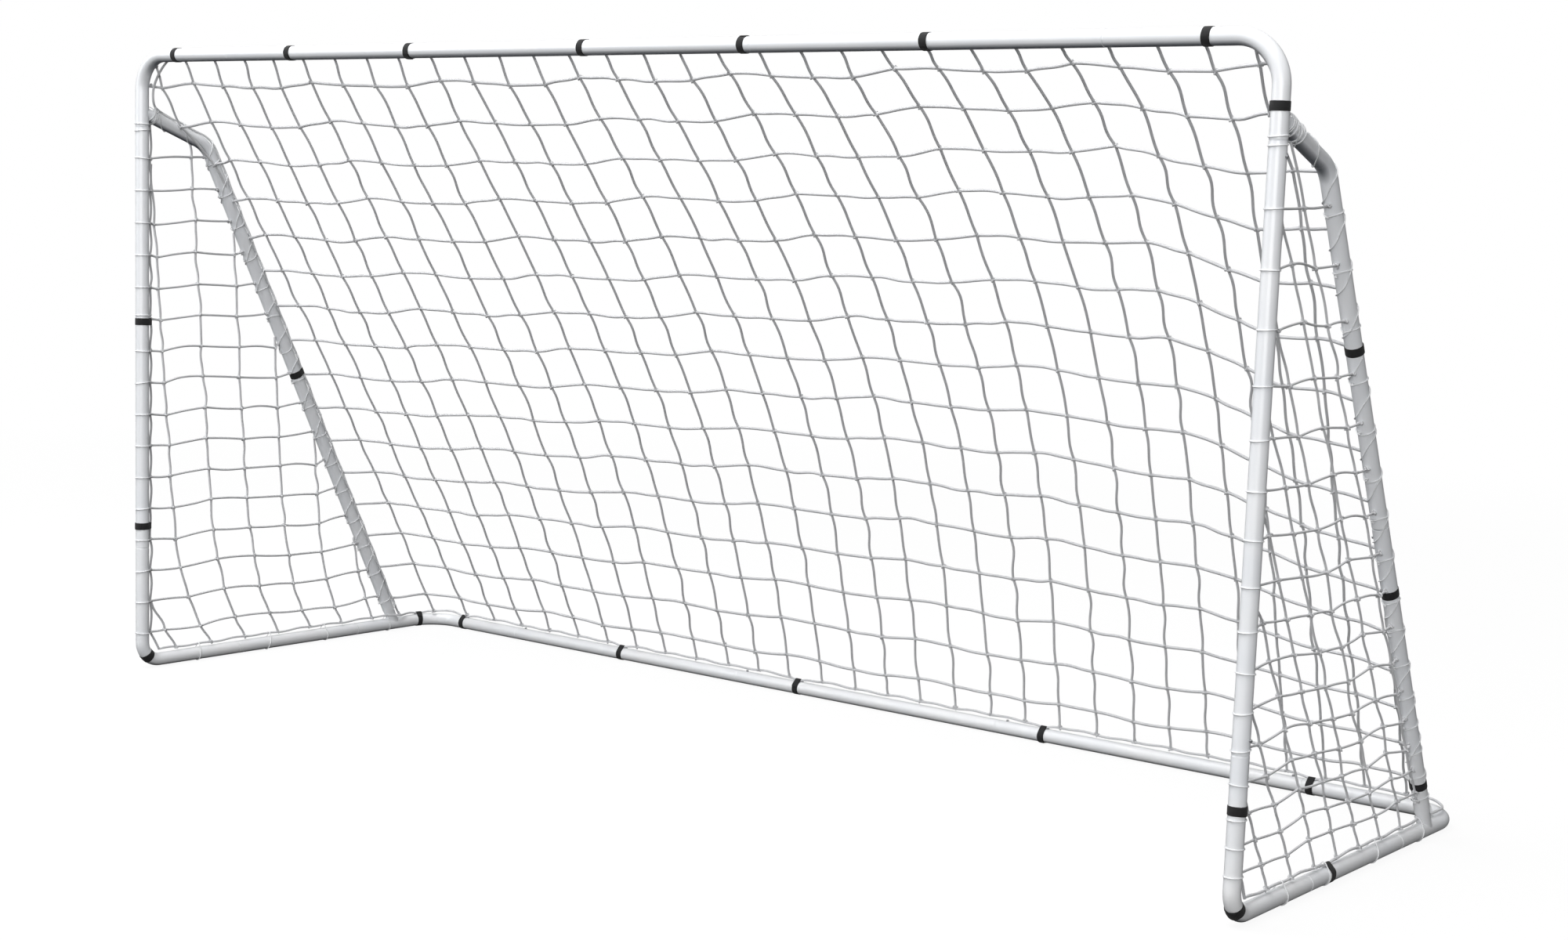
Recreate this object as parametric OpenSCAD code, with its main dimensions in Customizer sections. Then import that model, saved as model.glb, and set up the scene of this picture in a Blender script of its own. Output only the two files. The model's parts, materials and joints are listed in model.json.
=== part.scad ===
// Free-standing goal of push-together steel tubes, locked by snap buttons, with a strapped net.
// Origin: on the ground in the middle of the goal's outline. +X runs along the crossbar,
// to the right as seen from the field, +Y from the goal mouth to the back, and +Z up.
// The net stands here as three plain sheets inside the frame, the back one bowed to the rear.

/* [Goal] */
// Width over the outsides of the posts
goal_w = 3658; // [3400:1:4200]
// Height of the frame, from under its base tubes to the top of the crossbar
goal_h = 1812; // [1750:1:2100]
// Depth over the outsides of the front and rear tubes
goal_d = 1200; // [1190:1:1500]

/* [Tube] */
// Outside diameter of every tube
tube_od = 38; // [36:0.5:40]
// Wall thickness of every tube
tube_wall = 1.2; // [0.8:0.1:1.5]

/* [Bends] */
// Centre-line radius of the two top corners
top_bend_r = 100; // [60:1:130]
// Centre-line radius where a post turns into the side base
front_bend_r = 58; // [50:1:120]
// Centre-line radius of the two rear corners
rear_bend_r = 100; // [60:1:120]
// Centre-line radius of the bend in each stay
stay_bend_r = 90; // [60:1:120]

/* [Tube joints] */
// Length of the narrowed end that slides into the next tube
plug_len = 60; // [56:1:80]
// Length of the cone between a tube and its narrowed end
neck_len = 4; // [3:0.5:8]
// Radial clearance of a narrowed end in its socket
plug_clear = 0.1; // [0.05:0.01:0.2]
// Gap between a socket's mouth and the end of the cone
mouth_gap = 0.2; // [0.1:0.1:1]

/* [Tube lengths] */
// Top corner, from the post's axis to its joint along the crossbar
top_leg_x = 400; // [300:1:500]
// Top corner, from the crossbar's axis to its joint down the post
top_leg_z = 200; // [200:1:400]
// Front base bend, from the base's axis to its joint up the post
front_leg_z = 340; // [200:1:500]
// Front base bend, from the post's axis to its joint along the base
front_leg_y = 340; // [200:1:400]
// Rear corner, from the rear base's axis to its joint along the side base
rear_leg_y = 350; // [330:1:380]
// Rear corner, from the side base's axis to its joint along the rear base
rear_leg_x = 400; // [300:1:500]
// Lower stay, from the side base's axis to its joint with the upper stay
stay_low_len = 850; // [400:1:1200]

/* [Stays] */
// Drop from the crossbar's axis to where the stay's axis meets the post's
arm_drop = 160; // [150:1:200]
// Drop from the crossbar's axis to the corner of the stay
corner_drop = 244; // [230:1:320]
// Distance of the stay's corner behind the post
corner_back = 224; // [210:1:300]
// Distance of the stay's foot behind the post
foot_back = 983; // [950:1:1000]
// Bare stub left showing between a post and its stay
arm_gap = 12; // [10:1:20]
// Bare stub left showing between a side base and its stay
foot_gap = 32; // [18:1:40]

/* [Snap buttons] */
// Radius of the button's pin
button_r = 3.5; // [3:0.1:4]
// Radial clearance of the pin in its holes
button_clear = 0.1; // [0.05:0.01:0.2]
// Height of the button above the tube at rest
button_proud = 5; // [3:0.1:6]
// Radius of the button's flange inside the tube
flange_r = 5.5; // [5:0.1:6]
// Thickness of the button's flange
flange_t = 1.2; // [0.8:0.1:1.5]
// Chamfer on the button's tip
button_edge = 1.2; // [0.5:0.1:1.5]

/* [Leaf springs] */
// Thickness of the spring leaf
leaf_t = 0.8; // [0.5:0.1:1]
// Width of the spring leaf
leaf_w = 8; // [6:0.5:9]
// Reach of the spring from its button to its folded end
leaf_len = 32; // [28:1:34]
// Radius of the spring's fold
fold_r = 3; // [2:0.5:4]
// Length of the flat pad under a button
pad_len = 12; // [8:1:14]

/* [Straps] */
// Width of a hook-and-loop strap
strap_w = 20; // [15:1:30]
// Thickness of a closed strap
strap_t = 2; // [1:0.5:3]
// Gap between a strap and its tube
strap_clear = 0.15; // [0.05:0.05:0.5]
// Straps on the crossbar, from the left post's axis
crossbar_strap_x = [165, 659, 1131, 1747, 2254, 2768, 3454]; // [130:1:3500]
// Straps on the rear base, from the left side base's axis
rear_strap_x = [148, 861, 1572, 2434, 3239]; // [130:1:3500]
// Straps on the left post, up from the base's axis
left_post_strap_z = [407, 1010]; // [70:1:1700]
// Straps on the right post, up from the base's axis
right_post_strap_z = [227, 1638]; // [70:1:1700]
// Straps on the left stay, up the stay from its foot
left_stay_strap_s = [939]; // [60:1:1600]
// Straps on the right stay, up the stay from its foot
right_stay_strap_s = [134, 673, 1288]; // [60:1:1600]
// Strap on the right side base, behind the post's axis
side_strap_y = 446; // [420:1:760]
// Place of the strap on a front base bend, in degrees round the bend
front_bend_strap_a = 45; // [25:1:65]
// Place of the strap on the left rear corner, in degrees round the bend
rear_bend_strap_a = 14; // [8:1:80]

/* [Net] */
// Thickness of the sheets that stand for the net
net_t = 0.8; // [0.5:0.1:3]
// Gap between the sheets and the straps
net_gap = 3; // [2:1:20]
// Bow of the back sheet behind a straight line from the crossbar to the rear base
net_bow = 190; // [0:10:260]

/* [Hidden] */
$fn = 64;

LEFT = -1;
RIGHT = 1;
BACK = [0, 1, 0];
UP = [0, 0, 1];
DOWN = [0, 0, -1];
MINUS_X = [-1, 0, 0];

// Radii of the tube, of its narrowed end and of the closed strap
tube_r = tube_od / 2;
bore_r = tube_r - tube_wall;
plug_r = bore_r - plug_clear;
plug_bore_r = plug_r - tube_wall;
strap_in_r = tube_r + strap_clear;
strap_out_r = strap_in_r + strap_t;
over = 1;

// Axes of the frame. The base tubes lie on their straps, so they clear the ground by one.
post_x = goal_w / 2 - tube_r;
front_y = tube_r - goal_d / 2;
rear_y = goal_d / 2 - tube_r;
base_z = strap_out_r;
bar_z = base_z + goal_h - tube_od;

// A joint is measured from the plane where the cone starts
mouth = neck_len + mouth_gap;
grip = neck_len + plug_len / 2;
bar_tube = (2 * post_x - 2 * top_leg_x) / 3;
rear_tube = (2 * post_x - 2 * rear_leg_x) / 3;
side_tube = rear_y - front_y - front_leg_y - rear_leg_y;
post_tube = bar_z - base_z - top_leg_z - front_leg_z;

// The stay, in its side plane: back from the post's axis, and up from the base's axis
frame_h = bar_z - base_z;
arm_top = [0, frame_h - arm_drop];
corner = [corner_back, frame_h - corner_drop];
foot = [foot_back, 0];
arm_dir = (corner - arm_top) / norm(corner - arm_top);
stay_dir = (foot - corner) / norm(foot - corner);
arm_in = [arm_dir.y, -arm_dir.x];
stay_in = [stay_dir.y, -stay_dir.x];
stay_turn = acos(arm_dir * stay_dir);
stay_tangent = stay_bend_r * tan(stay_turn / 2);
arm_surface = tube_r / arm_dir.x;
foot_surface = -tube_r / stay_dir.y;
arm_joint = arm_surface + arm_gap - mouth;
foot_joint = foot_surface + foot_gap - mouth;

// A stay's legs run this far into its bend, whose wall is thicker by the swell on each face
stay_root = 1;
bend_swell = 0.15;

// The button rests with its flange just under the tube's wall, and its pin through both walls
flange_gap = 0.15;
flange_top = sqrt(plug_bore_r * plug_bore_r - flange_r * flange_r) - flange_gap;
button_top = tube_r + button_proud;

// ---- places ----

function side_point(side, p) = [side * post_x, front_y + p.x, base_z + p.y];
function side_way(d) = [0, d.x, d.y];
function outward(side) = [side, 0, 0];

// A joint is its point, the way the narrowed end points, and the way its button points
function bar_joint(k) = k < 3
    ? [[-post_x + top_leg_x + k * bar_tube, front_y, bar_z], [1, 0, 0], BACK]
    : [[post_x - top_leg_x, front_y, bar_z], MINUS_X, BACK];
function rear_joint(k) = k < 3
    ? [[-post_x + rear_leg_x + k * rear_tube, rear_y, base_z], [1, 0, 0], UP]
    : [[post_x - rear_leg_x, rear_y, base_z], MINUS_X, UP];
function post_top(side) =
    [side_point(side, [0, frame_h - top_leg_z]), DOWN, outward(side)];
function post_foot(side) = [side_point(side, [0, front_leg_z]), UP, outward(side)];
function side_front(side) = [side_point(side, [front_leg_y, 0]), BACK, MINUS_X];
function side_rear(side) =
    [side_point(side, [front_leg_y + side_tube, 0]), BACK, MINUS_X];
function arm_end(side) =
    [side_point(side, arm_top + arm_dir * arm_joint), side_way(arm_dir), MINUS_X];
function stay_middle(side) =
    [side_point(side, foot - stay_dir * stay_low_len), side_way(stay_dir), MINUS_X];
function stay_foot(side) =
    [side_point(side, foot - stay_dir * foot_joint), side_way(-stay_dir), MINUS_X];

// Moves a piece made along +Z so that it runs along one way from a point, with its +X out
module place(point, along, out) {
    third = cross(along, out);
    multmatrix([
        [out.x, third.x, along.x, point.x],
        [out.y, third.y, along.y, point.y],
        [out.z, third.z, along.z, point.z]
    ]) children();
}

module at_joint(joint) {
    place(joint[0], joint[1], joint[2]) children();
}

// ---- tube shapes, each along +Z with its buttons towards +X ----

// Half section of a tube from one height to another, with or without a narrowed end
function tube_section(low, high, plugged) = plugged
    ? [
        [bore_r, low], [tube_r, low], [tube_r, high],
        [plug_r, high + neck_len], [plug_r, high + neck_len + plug_len],
        [plug_bore_r, high + neck_len + plug_len], [plug_bore_r, high + neck_len],
        [bore_r, high]
    ]
    : [[bore_r, low], [tube_r, low], [tube_r, high], [bore_r, high]];

module button_hole(z) {
    translate([0, 0, z]) rotate([0, 90, 0])
        cylinder(r = button_r + button_clear, h = tube_r + over);
}

// A tube from a socket at z = 0 to a joint at its length
module straight_tube(length, plugged) {
    difference() {
        rotate_extrude()
            polygon(tube_section(mouth, plugged ? length : length - mouth, plugged));
        button_hole(grip);
        button_hole(plugged ? length + grip : length - grip);
    }
}

// A plain leg from a bend at z = 0, or from its root in the bend, to a joint at its length
module leg(length, plugged, root = 0) {
    difference() {
        rotate_extrude()
            polygon(tube_section(-root, plugged ? length : length - mouth, plugged));
        button_hole(plugged ? length + grip : length - grip);
    }
}

// A bend that starts along +Z and turns towards +X, or a stretch of one
module round_bend(radius, from, to, outer, inner) {
    translate([radius, 0, 0]) rotate([90, 0, 180]) rotate([0, 0, from])
        rotate_extrude(angle = to - from) translate([radius, 0]) difference() {
            circle(r = outer);
            circle(r = inner);
        }
}

module tube_bend(radius, angle) {
    round_bend(radius, 0, angle, tube_r, bore_r);
}

// Carries a piece from a bend's start to its end
module past_bend(radius, angle) {
    translate([radius, 0, 0]) rotate([0, angle, 0]) translate([-radius, 0, 0]) children();
}

// A narrow stub from a tube's axis out to the end of its socket, with its button hole
module stub(joint_at) {
    length = joint_at + mouth + plug_len;
    difference() {
        cylinder(r = plug_r, h = length);
        translate([0, 0, -over]) cylinder(r = plug_bore_r, h = length + 2 * over);
        button_hole(joint_at + grip);
    }
}

// ---- tubes ----

module top_corner(side) {
    inward = -outward(side);
    bend_start = side_point(side, [0, frame_h - top_bend_r]);
    bend_end = [side * (post_x - top_bend_r), front_y, bar_z];
    color("white") {
        place(bend_start, DOWN, outward(side)) leg(top_leg_z - top_bend_r, true);
        place(bend_start, UP, inward) tube_bend(top_bend_r, 90);
        place(bend_end, inward, BACK) leg(top_leg_x - top_bend_r, true);
        difference() {
            place(side_point(side, arm_top), side_way(arm_dir), MINUS_X) stub(arm_joint);
            place(side_point(side, [0, 0]), UP, BACK)
                cylinder(r = tube_r - tube_wall / 2, h = frame_h);
        }
    }
}

module crossbar_tube(k) {
    color("white") at_joint(bar_joint(k)) straight_tube(bar_tube, k < 2);
}

module post(side) {
    color("white") at_joint(post_top(side)) straight_tube(post_tube, false);
}

module base_bend(side) {
    bend_start = side_point(side, [0, front_bend_r]);
    bend_end = side_point(side, [front_bend_r, 0]);
    color("white") {
        place(bend_start, UP, outward(side)) leg(front_leg_z - front_bend_r, true);
        place(bend_start, DOWN, BACK) tube_bend(front_bend_r, 90);
        place(bend_end, BACK, MINUS_X) leg(front_leg_y - front_bend_r, true);
    }
}

module side_base(side) {
    color("white") at_joint(side_front(side)) straight_tube(side_tube, true);
}

module rear_corner(side) {
    inward = -outward(side);
    depth = rear_y - front_y;
    bend_start = side_point(side, [depth - rear_bend_r, 0]);
    bend_end = [side * (post_x - rear_bend_r), rear_y, base_z];
    color("white") {
        place(bend_start, -BACK, MINUS_X) leg(rear_leg_y - rear_bend_r, false);
        place(bend_start, BACK, inward) tube_bend(rear_bend_r, 90);
        place(bend_end, inward, UP) leg(rear_leg_x - rear_bend_r, true);
        difference() {
            place(side_point(side, foot), side_way(-stay_dir), MINUS_X) stub(foot_joint);
            place(side_point(side, [0, 0]), BACK, UP)
                cylinder(r = tube_r - tube_wall / 2, h = depth);
        }
    }
}

module rear_base(k) {
    color("white") at_joint(rear_joint(k)) straight_tube(rear_tube, k < 2);
}

module upper_stay(side) {
    bend_start = corner - arm_dir * stay_tangent;
    bend_end = corner + stay_dir * stay_tangent;
    arm_len = norm(bend_start - arm_top) - arm_joint;
    low_len = norm(foot - bend_end) - stay_low_len;
    color("white") place(side_point(side, bend_start), side_way(arm_dir), side_way(arm_in)) {
        rotate([180, 0, 90]) leg(arm_len, false, stay_root);
        round_bend(stay_bend_r, 0, stay_turn, tube_r + bend_swell, bore_r - bend_swell);
        past_bend(stay_bend_r, stay_turn) rotate([0, 0, 90]) leg(low_len, true, stay_root);
    }
}

module lower_stay(side) {
    color("white") at_joint(stay_middle(side))
        straight_tube(stay_low_len - foot_joint, false);
}

// ---- snap buttons and their springs ----

module button(joint) {
    color("silver") at_joint(joint) translate([0, 0, grip]) rotate([0, 90, 0])
        rotate_extrude() polygon([
            [0, flange_top - flange_t], [flange_r, flange_top - flange_t],
            [flange_r, flange_top], [button_r, flange_top],
            [button_r, button_top - button_edge], [button_r - button_edge, button_top],
            [0, button_top]
        ]);
}

// Centre line of the folded leaf, as out from the tube's axis and along it from the button:
// a pad under the button, the fold, and a pad on the far wall
leaf_gap = 0.1;
pad_x = flange_top - flange_t - leaf_gap - leaf_t / 2;
far_x = -sqrt(plug_bore_r * plug_bore_r - leaf_w * leaf_w / 4) + leaf_gap + leaf_t / 2;
fold_z = fold_r - leaf_len;
fold_steps = [for (a = [65:-26:-65]) a];
leaf_line = concat(
    [[pad_x, pad_len / 2], [pad_x, -pad_len / 2]],
    [for (a = fold_steps) [fold_r * sin(a), fold_z - fold_r * cos(a)]],
    [[far_x, -pad_len / 4], [far_x, pad_len / 2]]
);

function across(line, i) =
    let (run = line[min(i + 1, len(line) - 1)] - line[max(i - 1, 0)])
    [-run.y, run.x] / norm(run);

module leaf_spring() {
    last = len(leaf_line) - 1;
    half = leaf_t / 2;
    outline = concat(
        [for (i = [0:last]) leaf_line[i] + half * across(leaf_line, i)],
        [for (i = [last:-1:0]) leaf_line[i] - half * across(leaf_line, i)]
    );
    translate([0, 0, grip]) rotate([90, 0, 0])
        linear_extrude(height = leaf_w, center = true) polygon(outline);
}

module button_springs() {
    color("dimgray") {
        for (k = [0:3]) {
            at_joint(bar_joint(k)) leaf_spring();
            at_joint(rear_joint(k)) leaf_spring();
        }
        for (side = [LEFT, RIGHT]) {
            at_joint(post_top(side)) leaf_spring();
            at_joint(post_foot(side)) leaf_spring();
            at_joint(side_front(side)) leaf_spring();
            at_joint(side_rear(side)) leaf_spring();
            at_joint(arm_end(side)) leaf_spring();
            at_joint(stay_middle(side)) leaf_spring();
            at_joint(stay_foot(side)) leaf_spring();
        }
    }
}

// ---- straps ----

module strap() {
    rotate_extrude() translate([strap_in_r, -strap_w / 2]) square([strap_t, strap_w]);
}

module bend_strap(radius, middle) {
    half = strap_w / 2 / radius * 180 / PI;
    round_bend(radius, middle - half, middle + half, strap_out_r, strap_in_r);
}

module crossbar_straps() {
    color([0.08, 0.08, 0.08]) for (x = crossbar_strap_x)
        place([x - post_x, front_y, bar_z], [1, 0, 0], BACK) strap();
}

module post_straps() {
    color([0.08, 0.08, 0.08]) {
        for (z = left_post_strap_z) place(side_point(LEFT, [0, z]), UP, BACK) strap();
        for (z = right_post_strap_z) place(side_point(RIGHT, [0, z]), UP, BACK) strap();
    }
}

module base_bend_straps() {
    color([0.08, 0.08, 0.08]) for (side = [LEFT, RIGHT])
        place(side_point(side, [0, front_bend_r]), DOWN, BACK)
            bend_strap(front_bend_r, front_bend_strap_a);
}

module stay_strap(side, up) {
    place(side_point(side, foot - stay_dir * up), side_way(stay_dir), MINUS_X) strap();
}

module stay_straps() {
    color([0.08, 0.08, 0.08]) {
        for (up = left_stay_strap_s) stay_strap(LEFT, up);
        for (up = right_stay_strap_s) stay_strap(RIGHT, up);
    }
}

module base_straps() {
    rear_bend_y = rear_y - front_y - rear_bend_r;
    color([0.08, 0.08, 0.08]) {
        for (x = rear_strap_x)
            place([x - post_x, rear_y, base_z], [1, 0, 0], BACK) strap();
        place(side_point(RIGHT, [side_strap_y, 0]), BACK, UP) strap();
        place(side_point(LEFT, [rear_bend_y, 0]), BACK, [1, 0, 0])
            bend_strap(rear_bend_r, rear_bend_strap_a);
    }
}

// ---- net ----

net_room = strap_out_r + net_gap;

// Where the line through p along d crosses the line through q along e
function crossing(p, d, q, e) =
    let (gap = q - p)
    p + d * (gap.x * e.y - gap.y * e.x) / (d.x * e.y - d.y * e.x);

// Cuts a sheet's corner clear of a bend: the two distances of the cut from the bend's legs add
// up to this
function corner_cut(radius) = 2 * radius - sqrt(2) * (radius - net_room);

// The back sheet's line in its side plane, from just under the crossbar to the rear base tube
net_steps = 14;
net_fall = [rear_y - front_y, -frame_h];
net_slope = net_fall / norm(net_fall);
net_line = [
    for (i = [0:net_steps])
        let (t = i / net_steps)
        [0, frame_h] + net_slope * (net_room + (norm(net_fall) - 2 * net_room) * t)
            + [net_bow * sin(180 * pow(t, 0.8)), 0]
];

module net_back() {
    half = net_t / 2;
    width = 2 * (post_x - net_room);
    depth = rear_y - front_y;
    cut = corner_cut(top_bend_r);
    outline = concat(
        [for (i = [0:net_steps]) net_line[i] + half * across(net_line, i)],
        [for (i = [net_steps:-1:0]) net_line[i] - half * across(net_line, i)]
    );
    color("gainsboro") difference() {
        translate([-width / 2, front_y, base_z]) rotate([90, 0, 90])
            linear_extrude(height = width) polygon(outline);
        for (side = [LEFT, RIGHT])
            translate([side * post_x, front_y + depth, bar_z]) rotate([90, 0, 0])
                linear_extrude(height = depth)
                    polygon([[0, 0], [-side * cut, 0], [0, -cut]]);
    }
}

// A flat sheet in the side frame, between the post, the stay and the side base
module net_side(side) {
    arm_edge = corner + arm_in * net_room;
    stay_edge = corner + stay_in * net_room;
    cut = corner_cut(front_bend_r) - net_room;
    outline = [
        [net_room, cut], [cut, net_room],
        crossing([0, net_room], [1, 0], stay_edge, stay_dir),
        crossing(arm_edge, arm_dir, stay_edge, stay_dir),
        crossing([net_room, 0], [0, 1], arm_edge, arm_dir)
    ];
    color("gainsboro") translate([side * post_x, front_y, base_z]) rotate([90, 0, 90])
        linear_extrude(height = net_t, center = true) polygon(outline);
}

top_corner(LEFT);  // left_top_corner
top_corner(RIGHT);  // right_top_corner
crossbar_tube(0);  // left_crossbar_tube
crossbar_tube(1);  // middle_crossbar_tube
crossbar_tube(2);  // right_crossbar_tube
post(LEFT);  // left_post
post(RIGHT);  // right_post
base_bend(LEFT);  // left_base_bend
base_bend(RIGHT);  // right_base_bend
side_base(LEFT);  // left_side_base
side_base(RIGHT);  // right_side_base
rear_corner(LEFT);  // left_rear_corner
rear_corner(RIGHT);  // right_rear_corner
rear_base(0);  // left_rear_base
rear_base(1);  // middle_rear_base
rear_base(2);  // right_rear_base
upper_stay(LEFT);  // left_upper_stay
upper_stay(RIGHT);  // right_upper_stay
lower_stay(LEFT);  // left_lower_stay
lower_stay(RIGHT);  // right_lower_stay
button(bar_joint(0));  // crossbar_button_a
button(bar_joint(1));  // crossbar_button_b
button(bar_joint(2));  // crossbar_button_c
button(bar_joint(3));  // crossbar_button_d
button(rear_joint(0));  // rear_base_button_a
button(rear_joint(1));  // rear_base_button_b
button(rear_joint(2));  // rear_base_button_c
button(rear_joint(3));  // rear_base_button_d
button(post_top(LEFT));  // left_post_top_button
button(post_top(RIGHT));  // right_post_top_button
button(post_foot(LEFT));  // left_post_foot_button
button(post_foot(RIGHT));  // right_post_foot_button
button(side_front(LEFT));  // left_side_front_button
button(side_front(RIGHT));  // right_side_front_button
button(side_rear(LEFT));  // left_side_rear_button
button(side_rear(RIGHT));  // right_side_rear_button
button(arm_end(LEFT));  // left_arm_button
button(arm_end(RIGHT));  // right_arm_button
button(stay_middle(LEFT));  // left_stay_button
button(stay_middle(RIGHT));  // right_stay_button
button(stay_foot(LEFT));  // left_stay_foot_button
button(stay_foot(RIGHT));  // right_stay_foot_button
button_springs();
crossbar_straps();
post_straps();
base_bend_straps();
stay_straps();
base_straps();
net_back();
net_side(LEFT);  // net_left
net_side(RIGHT);  // net_right
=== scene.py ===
"""A soccer goal's looks, built round its packed tube frame: the cord net, its lacing, the
hook-and-loop straps, and the finishes of the tubes. Every length is in metres."""

import json
import math

import bpy
import numpy as np
from mathutils import Matrix, Vector


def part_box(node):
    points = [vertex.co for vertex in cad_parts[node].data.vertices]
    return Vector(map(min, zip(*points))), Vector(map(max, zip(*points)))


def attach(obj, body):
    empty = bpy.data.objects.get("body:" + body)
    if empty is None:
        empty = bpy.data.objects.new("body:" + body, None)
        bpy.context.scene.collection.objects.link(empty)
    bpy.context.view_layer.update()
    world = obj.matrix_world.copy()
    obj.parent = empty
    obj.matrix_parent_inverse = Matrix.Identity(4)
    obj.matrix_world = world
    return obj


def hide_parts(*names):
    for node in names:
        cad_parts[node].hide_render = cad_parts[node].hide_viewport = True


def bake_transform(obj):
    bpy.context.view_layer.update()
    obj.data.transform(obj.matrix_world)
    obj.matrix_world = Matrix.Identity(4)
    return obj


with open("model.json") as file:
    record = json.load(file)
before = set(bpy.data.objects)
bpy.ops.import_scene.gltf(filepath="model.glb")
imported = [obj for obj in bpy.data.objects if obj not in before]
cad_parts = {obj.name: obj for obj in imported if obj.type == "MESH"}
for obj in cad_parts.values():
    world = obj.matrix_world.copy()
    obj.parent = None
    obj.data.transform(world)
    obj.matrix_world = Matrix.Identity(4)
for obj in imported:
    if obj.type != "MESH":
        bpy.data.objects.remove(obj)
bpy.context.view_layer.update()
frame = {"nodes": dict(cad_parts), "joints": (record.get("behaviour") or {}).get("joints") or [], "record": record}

rng = np.random.default_rng(12)

# ---- the frame's own sizes ----
# Places are given from the goal's corner, where the axes of the left post, the left side base
# and the front of the frame meet: x to the right, y to the back and z up.


def middle(node):
    low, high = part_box(node)
    return (low + high) / 2


bar_low, bar_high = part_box("middle_crossbar_tube")
TUBE_R = (bar_high.z - bar_low.z) / 2
CORNER = np.array([middle("left_post").x, middle("left_post").y, middle("middle_rear_base").z])
WIDTH = middle("right_post").x - middle("left_post").x
DEPTH = middle("middle_rear_base").y - middle("left_post").y
HEIGHT = middle("middle_crossbar_tube").z - middle("middle_rear_base").z

TOP_BEND_R = 0.100
FRONT_BEND_R = 0.058
REAR_BEND_R = 0.100
STAY_BEND_R = 0.090

# Radii of the cords: the net's own, the back net's rows, the right net's, the thin white ones
CORD_R = 0.0034
ROW_R = 0.0040
RIGHT_CORD_R = 0.0028
LACE_R = 0.0014
CORD_SIDES = 7
# Between the base tubes and the cord over them
EDGE_GAP = 0.007
# From a tube's axis to that of a cord laid on it, straight out, and level from the raked stay
HUG = TUBE_R + CORD_R
STAY_HUG = HUG / 0.9

ACROSS = np.array([1.0, 0.0, 0.0])
UP = np.array([0.0, 0.0, 1.0])


def crossing(p, d, q, e):
    """Where the line through p along d meets the line through q along e, in a plane."""
    gap = q - p
    return p + d * (gap[0] * e[1] - gap[1] * e[0]) / (d[0] * e[1] - d[1] * e[0])


def stay_corners():
    """The axes' corners of arm and stay in the side plane, as (y, z): the plain sheet that
    stands for the side net keeps the same distance from the base, the arm and the stay."""
    sheet = np.array([v.co for v in frame["nodes"]["net_left"].data.vertices])[:, 1:]
    points = np.unique(np.round(sheet, 5), axis=0) - CORNER[1:]
    room = points[:, 1].min()
    front, bend = points[np.argsort(-points[:, 1])][:2]
    foot = points[np.argmax(points[:, 0])]
    arm = (bend - front) / np.linalg.norm(bend - front)
    stay = (foot - bend) / np.linalg.norm(foot - bend)
    arm_line = bend + room * np.array([-arm[1], arm[0]])
    stay_line = bend + room * np.array([-stay[1], stay[0]])
    return (
        crossing(np.zeros(2), np.array([0.0, 1.0]), arm_line, arm),
        crossing(arm_line, arm, stay_line, stay),
        crossing(np.zeros(2), np.array([1.0, 0.0]), stay_line, stay),
    )


ARM_TOP, STAY_BEND, STAY_FOOT = stay_corners()


def unit(v):
    return v / np.linalg.norm(v)


def distances(points):
    """How far along a line of points each one is."""
    return np.concatenate([[0], np.cumsum(np.linalg.norm(np.diff(points, axis=0), axis=1))])


def round_corner(before, corner, after, radius, steps=10):
    """Points of the arc that rounds a corner of a path."""
    a = unit(before - corner)
    b = unit(after - corner)
    half = math.acos(max(-1.0, min(1.0, float(a @ b)))) / 2
    centre = corner + unit(a + b) * radius / math.sin(half)
    start = corner + a * radius / math.tan(half) - centre
    end = corner + b * radius / math.tan(half) - centre
    turn = math.pi - 2 * half
    return [
        centre + (math.sin((1 - t) * turn) * start + math.sin(t * turn) * end) / math.sin(turn)
        for t in np.linspace(0, 1, steps)
    ]


class Path:
    """A line through points, read by the distance along it."""

    def __init__(self, points):
        self.points = np.array(points, float)
        self.at = distances(self.points)
        self.length = self.at[-1]

    def point(self, s):
        return np.stack([np.interp(s, self.at, self.points[:, i]) for i in range(3)], axis=-1)

    def along(self, s, reach=0.004):
        way = self.point(np.add(s, reach)) - self.point(np.subtract(s, reach))
        return way / np.linalg.norm(way, axis=-1, keepdims=True)

    def nearest(self, place):
        s = np.linspace(0, self.length, 1500)
        return float(s[np.argmin(np.linalg.norm(self.point(s) - place, axis=1))])


def stay_path(x):
    """The axis of arm and stay on one side, from the post to the foot."""
    flat = [ARM_TOP, *round_corner(ARM_TOP, STAY_BEND, STAY_FOOT, STAY_BEND_R), STAY_FOOT]
    return Path([(x, p[0], p[1]) for p in flat])


STAY = {0.0: stay_path(0.0), WIDTH: stay_path(WIDTH)}


def stay_y(z):
    """How far behind the post's axis the arm or stay is at a height."""
    line = STAY[0.0].points[::-1]
    return float(np.interp(z, line[:, 2], line[:, 1], right=0.0))


# ---- meshes of cord ----


def show(name, data):
    """A new object in the scene, of a mesh, a light or a camera."""
    shown = bpy.data.objects.new(name, data)
    bpy.context.scene.collection.objects.link(shown)
    return shown


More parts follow.
